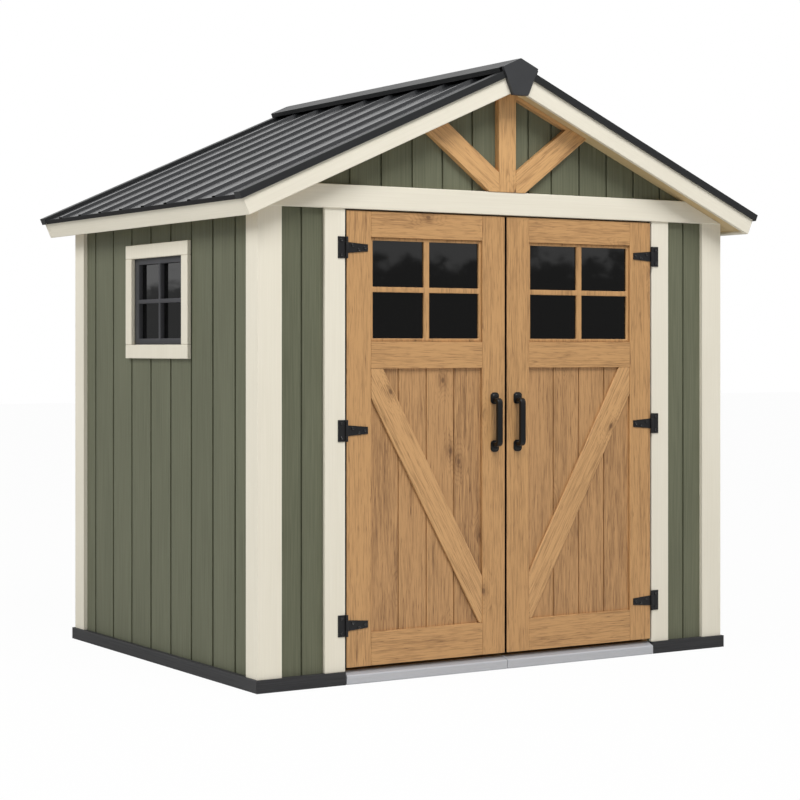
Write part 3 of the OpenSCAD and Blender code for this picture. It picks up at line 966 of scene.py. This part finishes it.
@dataclass
class Windows:
    """The two side windows: casing boards and barred sashes."""

    opening_y: Span = (-222.0, 282.0)
    opening_z: Span = (1393.0, 1776.0)
    casing_x: Span = (1191.0, 1210.0)
    casing_y: Span = (-284.0, 344.0)
    casing_z: Span = (1332.0, 1837.0)
    sash_x: Span = (1159.0, 1191.0)
    stile: float = 40.0
    rail: float = 27.0
    bar: float = 18.0
    joint: float = 0.4
    casing_edge: float = 3.0
    sash_edge: float = 2.0
    draw: random.Random = field(default_factory=lambda: random.Random(5))

    def casing(self) -> Piece:
        """Models one window's casing of four boards, the head and the sill running through.

        Returns:
            The casing of the right window.
        """
        near, far = self.casing_x
        boards = [
            ((near, self.casing_y[0], self.casing_z[0]), (far, self.casing_y[1], self.opening_z[0])),
            ((near, self.casing_y[0], self.opening_z[1]), (far, self.casing_y[1], self.casing_z[1])),
        ]
        low, high = self.opening_z[0] + self.joint, self.opening_z[1] - self.joint
        for start, stop in ((self.casing_y[0], self.opening_y[0]), (self.opening_y[1], self.casing_y[1])):
            boards.append(((near, start, low), (far, stop, high)))
        parts = [tag_board(round_edges(add_block(*board), self.casing_edge), self.draw.random()) for board in boards]
        return join(parts, "casing")

    def sash(self) -> Piece:
        """Models one sash, its ring and its crossing bars flush.

        Returns:
            The sash of the right window.
        """
        half = self.bar / 2
        middle_y, middle_z = sum(self.opening_y) / 2, sum(self.opening_z) / 2
        low, high = zip(self.sash_x, self.opening_y, self.opening_z)
        across = ((self.opening_y[0] + self.stile, middle_y - half), (middle_y + half, self.opening_y[1] - self.stile))
        up = ((self.opening_z[0] + self.rail, middle_z - half), (middle_z + half, self.opening_z[1] - self.rail))
        return Lattice(low, high, Axis.Y, Axis.X, across, up).build("sash", self.sash_edge)

    def build(self) -> None:
        """Models and dresses both windows."""
        casing, sash = self.casing(), self.sash()
        casings = join([casing, copy_piece(casing, mirror=Axis.X)], "window_casing_boards")
        hand_over(casings, CREAM[Grain.UPRIGHT], Body.SHED, Slot.CREAM, "window_casings")
        sashes = join([sash, copy_piece(sash, mirror=Axis.X)], "window_barred_sashes")
        hand_over(sashes, SASH, Body.SHED, Slot.SASH, "window_sashes")


# Doors


@dataclass
class Doors:
    """What the two leaves carry beyond their CAD frame: panel boards, glazing bars and pull handles."""

    lock_x: float = 122.5
    stile_x: float = 678.5
    panel_y: Span = (-902.0, -884.0)
    panel_z: Span = (206.0, 1293.0)
    board_count: int = 4
    board_channel: float = 5.0
    board_depth: float = 6.0
    board_edge: float = 2.4
    light_z: Span = (1405.0, 1836.0)
    bars_y: Span = (-905.0, -882.0)
    bead: float = 13.0
    upright_bar: float = 27.0
    level_bar: float = 22.0
    bar_edge: float = 2.5
    pull_x: float = 60.0
    pull_z: Span = (966.0, 1155.0)
    rose_z: Span = (958.0, 1163.0)
    face_y: float = -914.0
    pull_y: float = -951.5
    pull_size: Span = (27.0, 18.0)
    pull_round: float = 4.0
    pull_foot: float = 2.0
    bend: float = 12.0
    bend_steps: int = 8
    rose_size: Span = (42.0, 50.0)
    rose_t: float = 5.0
    rose_round: float = 15.0
    rose_edge: float = 1.5
    boss_inset: float = 7.0
    boss_t: float = 4.0
    boss_taper: float = 0.8
    seal_x: tuple[Span, Span] = ((4.1, 5.5), (795.5, 796.9))
    seal_y: Span = (-911.0, -877.0)
    seal_edge: float = 0.6
    leaf_z: Span = (68.0, 1942.0)
    draw: random.Random = field(default_factory=lambda: random.Random(3))

    def panel(self, sign: float, name: str) -> Piece:
        """Models one leaf's lower panel of upright boards.

        Args:
            sign: -1 for the left leaf, 1 for the right one.
            name: Name of the panel.

        Returns:
            The panel.
        """
        near, far = sorted((sign * self.lock_x, sign * self.stile_x))
        width = (far - near) / self.board_count
        seams = [near + width * place for place in range(1, self.board_count)]
        low, high = zip((near, far), self.panel_y, self.panel_z)
        row = BoardRow(low, high, Lie.END, -1.0, seams, self.board_channel, self.board_depth, edge=self.board_edge)
        return row.build(name, self.draw)

    def glazing(self) -> Piece:
        """Models the right leaf's glazing bars and beads.

        Returns:
            The lattice.
        """
        middle_x = (self.lock_x + self.stile_x) / 2
        middle_z = sum(self.light_z) / 2
        half_up, half_level = self.upright_bar / 2, self.level_bar / 2
        low, high = zip((self.lock_x, self.stile_x), self.bars_y, self.light_z)
        across = ((self.lock_x + self.bead, middle_x - half_up), (middle_x + half_up, self.stile_x - self.bead))
        up = ((low[Axis.Z] + self.bead, middle_z - half_level), (middle_z + half_level, high[Axis.Z] - self.bead))
        return Lattice(low, high, Axis.X, Axis.Y, across, up).build("glazing", self.bar_edge)

    def rose(self, height: float) -> Piece:
        """Models a round-cornered rose with an eased rim and a raised boss.

        Args:
            height: Height of its middle.

        Returns:
            The rose.
        """
        wide, tall = (size / 2 for size in self.rose_size)
        middle = (self.pull_x * MM, self.face_y * MM, height * MM)
        rose = add_block(
            (self.pull_x - wide, self.face_y - self.rose_t, height - tall),
            (self.pull_x + wide, self.face_y, height + tall),
        )
        pick(rose, Part.EDGES, lambda place, run: abs(run.y) > FACING)
        bpy.ops.mesh.bevel(offset=self.rose_round * MM, segments=8, affect="EDGES")
        pick(rose, Part.FACES, lambda place, normal: normal.y < -FACING)
        bpy.ops.mesh.inset(thickness=self.boss_inset * MM)
        bpy.ops.mesh.extrude_region_move(TRANSFORM_OT_translate={"value": (0.0, -self.boss_t * MM, 0.0)})
        bpy.ops.transform.resize(value=(self.boss_taper, 1.0, self.boss_taper), center_override=middle)
        return round_edges(settle(rose), self.rose_edge, 3)

    def pull(self) -> Piece:
        """Models the right leaf's pull handle: a flat bar with rounded bends between two roses.

        Returns:
            The handle.
        """
        wide, thick = self.pull_size
        low, high = self.pull_z
        turn_y = self.pull_y + self.bend

        def push(forward: float, up: float) -> None:
            """Extrudes the open end of the bar along Y and Z."""
            move = (0.0, forward * MM, up * MM)
            bpy.ops.mesh.extrude_region_move(TRANSFORM_OT_translate={"value": move})

        def swing(height: float) -> None:
            """Turns the open end of the bar through a right angle, about a height."""
            center = (self.pull_x * MM, turn_y * MM, height * MM)
            bpy.ops.mesh.spin(steps=self.bend_steps, angle=math.pi / 2, center=center, axis=Axis.X.way)

        bar = add_block(
            (self.pull_x - wide / 2, self.face_y - self.pull_foot, low - thick / 2),
            (self.pull_x + wide / 2, self.face_y, low + thick / 2),
        )
        pick(bar, Part.EDGES, lambda middle, run: abs(run.y) > FACING)
        bpy.ops.mesh.bevel(offset=self.pull_round * MM, segments=4, affect="EDGES")
        begin(bar)
        pick(bar, Part.FACES, lambda middle, normal: normal.y < -FACING)
        push(turn_y - (self.face_y - self.pull_foot), 0.0)
        swing(low + self.bend)
        push(0.0, high - low - 2 * self.bend)
        swing(high - self.bend)
        push(self.face_y - turn_y, 0.0)
        bpy.ops.mesh.select_all(action="SELECT")
        bpy.ops.mesh.remove_doubles(threshold=TOUCH * MM)
        begin(bar)
        handle = join([bar, *(self.rose(height) for height in self.rose_z)], "pull")
        return shade(handle, 40.0)

    def seals(self) -> Piece:
        """Models the right leaf's edge seals: a thin strip with rounded lips on either upright edge."""
        strips = [add_block(*zip(span, self.seal_y, self.leaf_z)) for span in self.seal_x]
        return join([round_edges(strip, self.seal_edge) for strip in strips], "seals")

    def build(self) -> None:
        """Models and dresses both leaves."""
        models = (
            (self.glazing(), "door_glazing_bars", OAK[Grain.UPRIGHT], Slot.OAK, ()),
            (self.pull(), "door_pull", PULL_IRON, Slot.IRON, ("door_handle",)),
            (self.seals(), "door_edge_seals", RUBBER, Slot.IRON, ()),
        )
        for sign, body in ((1.0, Body.RIGHT), (-1.0, Body.LEFT)):
            panel = self.panel(sign, f"{body.side}_door_boards")
            hand_over(panel, PANEL, body, Slot.OAK, f"{body.side}_door_panel")
            for model, label, finish, slot, nodes in models:
                piece = copy_piece(model, mirror=Axis.X if sign < 0 else None)
                piece.name = piece.data.name = f"{body.side}_{label}"
                hand_over(piece, finish, body, slot, *(f"{body.side}_{node}" for node in nodes))
        for model, *_ in models:
            bpy.data.meshes.remove(model.data)


@dataclass
class Screws:
    """Round-headed screws of the hinges."""

    head_r: float = 6.5
    head_t: float = 3.2
    rim: float = 3.4
    recess: float = 2.0
    edge: float = 0.9
    smooth: float = 50.0
    face_y: float = -917.0
    hinge_z: Triple = (241.0, 1039.0, 1790.0)
    plate_x: float = 822.0
    plate_rise: float = 30.0
    strap_x: Triple = (769.0, 739.0, 710.0)
    strap_rise: Triple = (9.0, -9.0, 0.0)

    def screw(self) -> Piece:
        """Models one screw at the origin, looking to -Y, with a domed head and a drive recess.

        Returns:
            The screw.
        """
        begin()
        bpy.ops.mesh.primitive_cylinder_add(
            vertices=16,
            radius=self.head_r * MM,
            depth=self.head_t * MM,
            location=(0.0, -self.head_t / 2 * MM, 0.0),
            rotation=(math.pi / 2, 0.0, 0.0),
        )
        head = settle()
        pick(head, Part.FACES, lambda middle, normal: normal.y < -FACING)
        bpy.ops.mesh.inset(thickness=self.rim * MM)
        bpy.ops.mesh.extrude_region_move(TRANSFORM_OT_translate={"value": (0.0, self.recess * MM, 0.0)})
        return shade(round_edges(settle(head), self.edge, 2, self.smooth), self.smooth)

    def build(self) -> None:
        """Models the screws of the plates and of each leaf's straps."""
        screw = self.screw()
        rises = (-self.plate_rise, self.plate_rise)
        plates = [(side * self.plate_x, height + rise) for side in (-1, 1) for height in self.hinge_z for rise in rises]
        rows = [("hinge_plate_screws", Body.SHED, plates)]
        for side, body in ((1, Body.RIGHT), (-1, Body.LEFT)):
            spots = list(zip(self.strap_x, self.strap_rise))
            straps = [(side * place, height + rise) for height in self.hinge_z for place, rise in spots]
            rows.append((f"{body.side}_strap_screws", body, straps))
        for name, body, places in rows:
            heads = [copy_piece(screw, (place, self.face_y, height)) for place, height in places]
            hand_over(join(heads, name), SCREW_STEEL, body, Slot.IRON)
        bpy.data.meshes.remove(screw.data)


# Kept solids


@dataclass
class KeptSolids:
    """CAD nodes whose shape is right: each gets its finish and eased edges.

    The nodes in evened also get even normals, because their bevels bend those of large flat faces.
    """

    nodes: dict[str, Piece]
    ease_angle: float = 30.0
    evened: Sequence[str] = (
        "roof_sheets", "soffits", "rake_trims", "end_headers", "side_skirts", "end_skirts",
        "left_door_brace", "right_door_brace",
    )

    def dress(self, name: str, finish: Finish, edge: float) -> None:
        """Dresses one node.

        Args:
            name: Name of the node.
            finish: Its finish.
            edge: Width of the eased edges, or 0 for none.
        """
        node = self.nodes[name]
        node.data.materials.clear()
        node.data.materials.append(finish.material())
        if edge:
            weld = node.modifiers.new("welded", "WELD")
            weld.merge_threshold = TOUCH * MM
            bevel = node.modifiers.new("eased_edges", "BEVEL")
            bevel.width, bevel.segments = edge * MM, 2
            bevel.limit_method, bevel.angle_limit = "ANGLE", math.radians(self.ease_angle)
        if name in self.evened:
            node.modifiers.new("evened_normals", "WEIGHTED_NORMAL")
        log.info("%s: %s", name, finish.name)

    def build(self) -> None:
        """Dresses every node that stays."""
        upright, level, deep, slope = Grain.UPRIGHT, Grain.LEVEL, Grain.DEEP, Grain.SLOPE
        for name, finish, edge in (
            ("floor_bearers", BARE[level], 2.0),
            ("side_skirts", CHARCOAL[deep], 3.0),
            ("end_skirts", CHARCOAL[level], 3.0),
            ("door_threshold", ALUMINIUM, 4.0),
            ("wall_studs", BARE[upright], 2.0),
            ("wall_plates", BARE[deep], 2.0),
            ("end_headers", BARE[level], 2.0),
            ("door_stops", BARE[upright], 2.0),
            ("corner_boards", CREAM[upright], 3.0),
            ("door_casings", CREAM[upright], 3.0),
            ("gable_beams", CREAM[level], 3.0),
            ("king_post", TRUSS[upright], 2.5),
            ("truss_struts", TRUSS[Grain.STRUT], 2.5),
            ("truss_chords", TRUSS[slope], 2.0),
            ("rafters", BARE[slope], 2.0),
            ("ridge_board", BARE[deep], 2.0),
            ("roof_decks", BARE[deep], 0.0),
            ("roof_sheets", ROOF_STEEL, 2.0),
            ("soffits", SOFFIT, 1.0),
            ("barge_boards", CREAM[slope], 3.0),
            ("eave_fascias", CREAM[deep], 3.0),
            ("rake_trims", TRIM_STEEL, 0.8),
            ("eave_trims", EAVE_STEEL, 0.8),
            ("ridge_cap", TRIM_STEEL, 0.8),
            ("ridge_end_caps", CAP_STEEL, 2.0),
            ("window_glass", GLASS, 0.0),
            ("hinge_plates", IRON, 0.6),
        ):
            self.dress(name, finish, edge)
        for side in ("left", "right"):
            self.dress(f"{side}_door_stiles", OAK[upright], 3.0)
            self.dress(f"{side}_door_rails", OAK[level], 3.0)
            self.dress(f"{side}_door_brace", BRACE, 4.0)
            self.dress(f"{side}_door_glass", GLASS, 0.0)
            self.dress(f"{side}_hinge_straps", IRON, 0.6)


# Studio


@dataclass
class Studio:
    """Pale floor, soft light and the camera of the photograph."""

    camera_place: Triple = (-5.0485, -8.087, 1.3758)
    camera_turn: float = -32.16
    lens: float = 91.63
    sensor: float = 36.0
    shift: float = -0.0643
    floor_size: float = 80.0
    floor_drop: float = 0.001
    floor_colour: str = "#cfcfcd"
    floor_glow: float = 0.97
    sky: float = 0.38
    mirrored_sky: Span = (0.22, 0.85)
    tree_line: Span = (-0.013, -0.006)
    tree_size: float = 55.0
    tree_height: float = 0.09
    tree_slope: float = 0.014
    aim: Triple = (0.0, 0.0, 1.2)

    def camera(self) -> None:
        """Sets the camera level, with the shift that keeps uprights upright."""
        data = bpy.data.cameras.new("camera")
        data.lens, data.sensor_width, data.shift_y = self.lens, self.sensor, self.shift
        camera = bpy.data.objects.new("camera", data)
        camera.location = self.camera_place
        camera.rotation_euler = (math.pi / 2, 0.0, math.radians(self.camera_turn))
        bpy.context.collection.objects.link(camera)
        bpy.context.scene.camera = camera

    def floor(self) -> None:
        """Lays a pale floor that the camera sees as near white, with the shadow kept."""
        begin()
        bpy.ops.mesh.primitive_plane_add(size=self.floor_size, location=(0.0, 0.0, -self.floor_drop))
        floor = settle()
        floor.name = "studio_floor"
        made = bpy.data.materials.new("studio_floor")
        made.use_nodes = True
        tree = made.node_tree
        tree.nodes.clear()
        seen = add_node(tree, "LightPath")["Is Camera Ray"]
        share = reckon(tree, "MULTIPLY", seen, self.floor_glow)
        matt = add_node(tree, "BsdfDiffuse", Color=linear(self.floor_colour))[0]
        glow = add_node(tree, "Emission", Color=linear("#ffffff"), Strength=1.0)[0]
        mixed = add_node(tree, "MixShader", i0=share, i1=matt, i2=glow)[0]
        add_node(tree, "OutputMaterial", Surface=mixed)
        floor.data.materials.append(made)

    def world(self) -> None:
        """Sets a white background, a soft even sky and, in mirrors only, a dark broken tree line on the horizon."""
        world = bpy.data.worlds.new("studio")
        bpy.context.scene.world = world
        world.use_nodes = True
        tree = world.node_tree
        tree.nodes.clear()
        path = add_node(tree, "LightPath")
        way = add_node(tree, "TexCoord")["Generated"]
        upward = (-self.tree_slope, 0.0, 1.0)
        height = add_node(tree, "VectorMath", {"operation": "DOT_PRODUCT"}, i0=way, i1=upward)["Value"]
        crowns = add_node(tree, "TexNoise", Vector=way, Scale=self.tree_size, Detail=8.0, Roughness=0.7)["Fac"]
        over = reckon(tree, "MULTIPLY_ADD", crowns, -self.tree_height, height)
        ends = dict(zip(("From_Min", "From_Max", "To_Min", "To_Max"), (*self.tree_line, *self.mirrored_sky)))
        mirrored = add_node(tree, "MapRange", Value=over, **ends)[0]
        seen = reckon(tree, "MAXIMUM", path["Is Camera Ray"], path["Is Transmission Ray"])
        level = add_node(tree, "MapRange", Value=seen, To_Min=self.sky, To_Max=1.0)[0]
        level = add_node(tree, "Mix", i0=path["Is Glossy Ray"], i2=level, i3=mirrored)[0]
        sky = add_node(tree, "Background", Color=linear("#ffffff"), Strength=level)[0]
        add_node(tree, "OutputWorld", Surface=sky)

    def lamp(self, name: str, place: Triple, size: float, power: float) -> None:
        """Hangs a square soft box that looks at the middle of the shed.

        Args:
            name: Name of the lamp.
            place: Its place in metres.
            size: Its side in metres.
            power: Its power in watts.
        """
        data = bpy.data.lights.new(name, "AREA")
        data.size, data.energy = size, power
        lamp = bpy.data.objects.new(name, data)
        lamp.location = place
        lamp.rotation_euler = (Vector(self.aim) - Vector(place)).to_track_quat("-Z", "Y").to_euler()
        bpy.context.collection.objects.link(lamp)

    def build(self) -> None:
        """Sets up the studio."""
        bpy.context.scene.view_settings.view_transform = "Standard"
        self.camera()
        self.floor()
        self.world()
        self.lamp("key_box", (-0.6, -6.0, 9.0), 4.0, 730.0)
        self.lamp("side_box", (-7.5, -0.5, 7.0), 4.0, 440.0)


def main() -> None:
    """Builds the shed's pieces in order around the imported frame."""
    logging.basicConfig(level=logging.INFO, format="%(name)s %(message)s")
    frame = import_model()
    Studio().build()
    KeptSolids(frame["nodes"]).build()
    Walls().build()
    Windows().build()
    Doors().build()
    Screws().build()
    begin()


if __name__ == "__main__":
    main()
